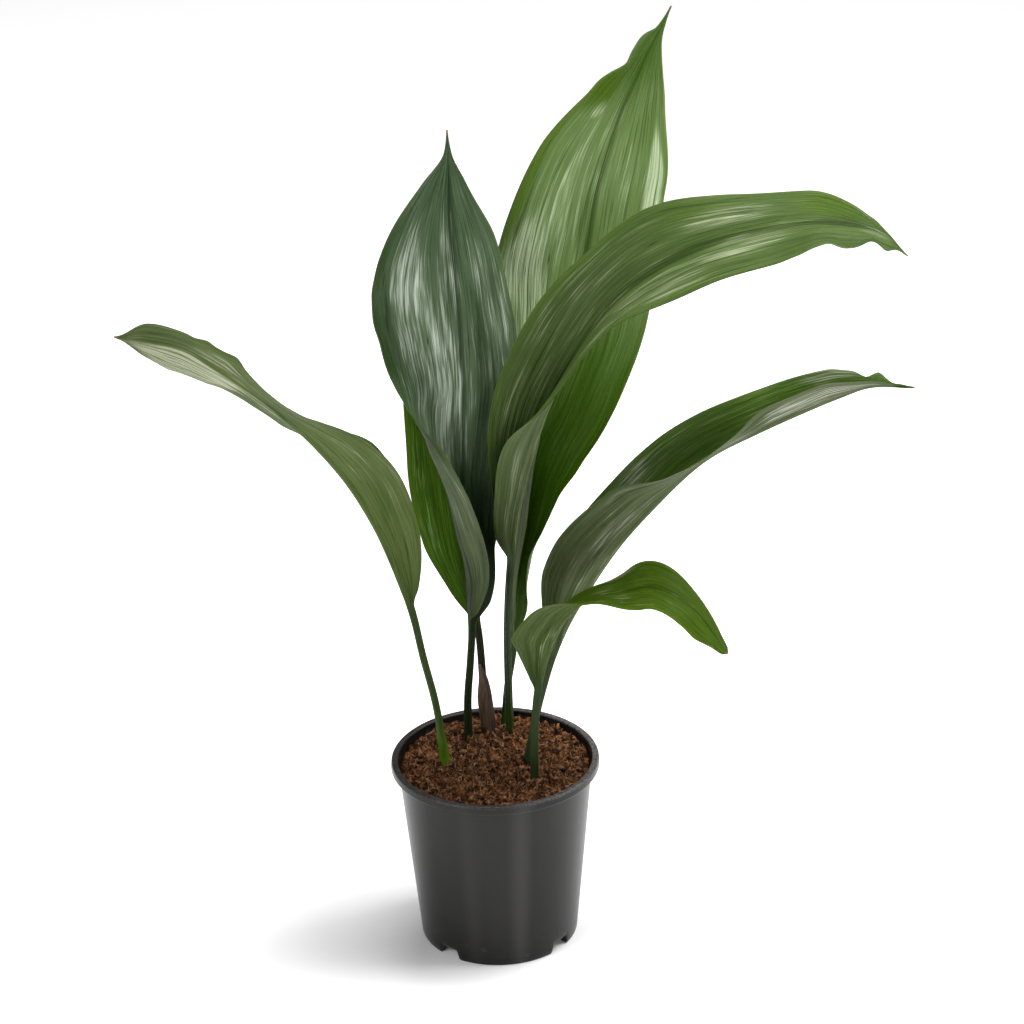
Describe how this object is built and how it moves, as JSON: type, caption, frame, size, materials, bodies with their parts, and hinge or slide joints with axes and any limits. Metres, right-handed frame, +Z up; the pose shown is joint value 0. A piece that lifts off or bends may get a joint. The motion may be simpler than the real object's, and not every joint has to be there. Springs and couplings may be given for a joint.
{
  "type": "potted cast iron plant",
  "caption": "House plant with long, dark, glossy, ribbed leaves that stand and arch on slim stalks from the soil of a round black nursery pot with a rolled lip and notched foot",
  "frame": {"origin": "on the ground under the middle of the pot, in the plane of the pot's flat underside", "axes": "+Z up, -Y to the front as pictured, +X to the right as seen from the front"},
  "size_m": [0.5353, 0.1573, 0.6633],
  "materials": {
    "pot": "satin charcoal plastic, softly scuffed",
    "soil": "damp red-brown coir and peat with loose fibres",
    "leaf_left": "satin mid green underside, ribbed",
    "leaf_front": "glossy dark green with a pale streaked sheen",
    "leaf_rear_left": "satin clear green with pale fine veins",
    "leaf_arching": "glossy green with a pale streaked sheen",
    "leaf_tall": "glossy bright green with a pale streaked sheen",
    "leaf_side": "glossy green above, greyer and ribbed below",
    "leaf_low": "satin bright green, greyer below",
    "dry_sheath": "matte papery brown"
  },
  "bodies": {
    "root": {"pot": "pot", "soil": "soil", "leaf_left": "leaf_left", "leaf_front": "leaf_front", "leaf_rear_left": "leaf_rear_left", "leaf_arching": "leaf_arching", "leaf_tall": "leaf_tall", "leaf_side": "leaf_side", "leaf_low": "leaf_low", "dry_sheath": "dry_sheath"}
  },
  "joints": []
}
